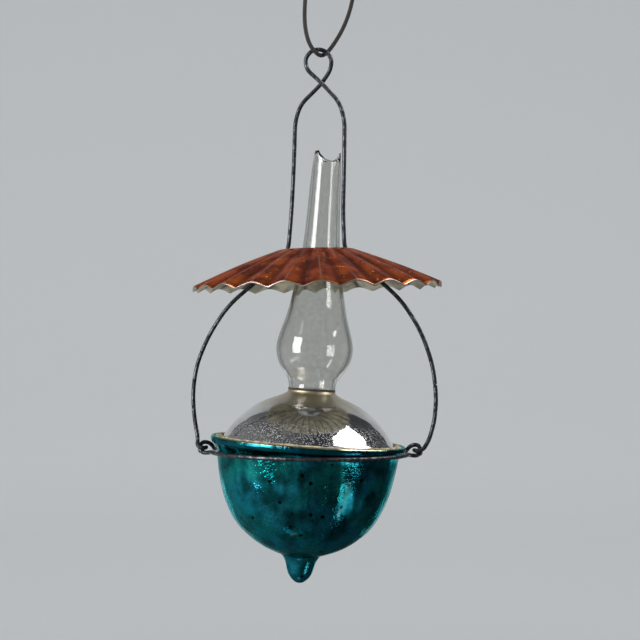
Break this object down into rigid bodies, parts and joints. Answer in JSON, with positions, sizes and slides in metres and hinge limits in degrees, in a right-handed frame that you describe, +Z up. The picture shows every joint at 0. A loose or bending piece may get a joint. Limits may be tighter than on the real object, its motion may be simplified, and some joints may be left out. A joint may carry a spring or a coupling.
{
  "type": "glass hanging-lamp ornament",
  "caption": "Small blown-glass hanging lamp ornament: wire bail and ring, crimped tin shade, chimney, domed top and round bowl with a drop, on a cord loop.",
  "frame": {"origin": "top of the knot that ties the hanging cord loop, where the ornament is held", "axes": "+Z up, +X to the ornament's right, +Y to its back; the frame of the bail lies in the XZ plane"},
  "size_m": [0.0625, 0.0624, 0.1653],
  "materials": {
    "cord": "dark twisted cord",
    "wire": "blackened annealed iron wire",
    "shade_tin": "copper-coloured lacquer over thin tinplate, bare tin below",
    "teal_glass": "blown glass, silvered inside and lacquered teal",
    "silvered_glass": "blown glass, silvered inside, lightly tarnished",
    "cement": "dry beige cement",
    "dark_cement": "thin dark joint",
    "clear_glass": "clear blown glass, faintly smoky"
  },
  "bodies": {
    "hanger": {"hanging_cord": "cord", "cord_knot": "cord"},
    "bail": {"bail_wire": "wire"},
    "shade": {"pleated_shade": "shade_tin"},
    "ring": {"ring_wire": "wire"},
    "lamp": {"glass_bowl": "teal_glass", "glass_dome": "silvered_glass", "lip_cement": "cement", "neck_cement": "dark_cement", "chimney_glass": "clear_glass"}
  },
  "joints": [
    {"name": "frame_swing", "type": "hinge", "parent": "hanger", "child": "bail", "pos_m": [-0.0001, 0, -0.033], "axis": [0, 1, 0], "range_deg": [-15, 15]},
    {"name": "shade_lift", "type": "slide", "parent": "bail", "child": "shade", "axis": [0, 0, 1], "range_m": [0, 0.045]},
    {"name": "ring_swing", "type": "hinge", "parent": "bail", "child": "ring", "pos_m": [-0.00244, 0.00002, -0.1322], "axis": [0.9999, 0, -0.014], "range_deg": [-1, 4.4]},
    {"name": "lamp_rock", "type": "hinge", "parent": "ring", "child": "lamp", "pos_m": [-0.0025, 0, -0.13295], "axis": [-0.0004, 0.9995, -0.0314], "range_deg": [-1.5, 0]}
  ]
}
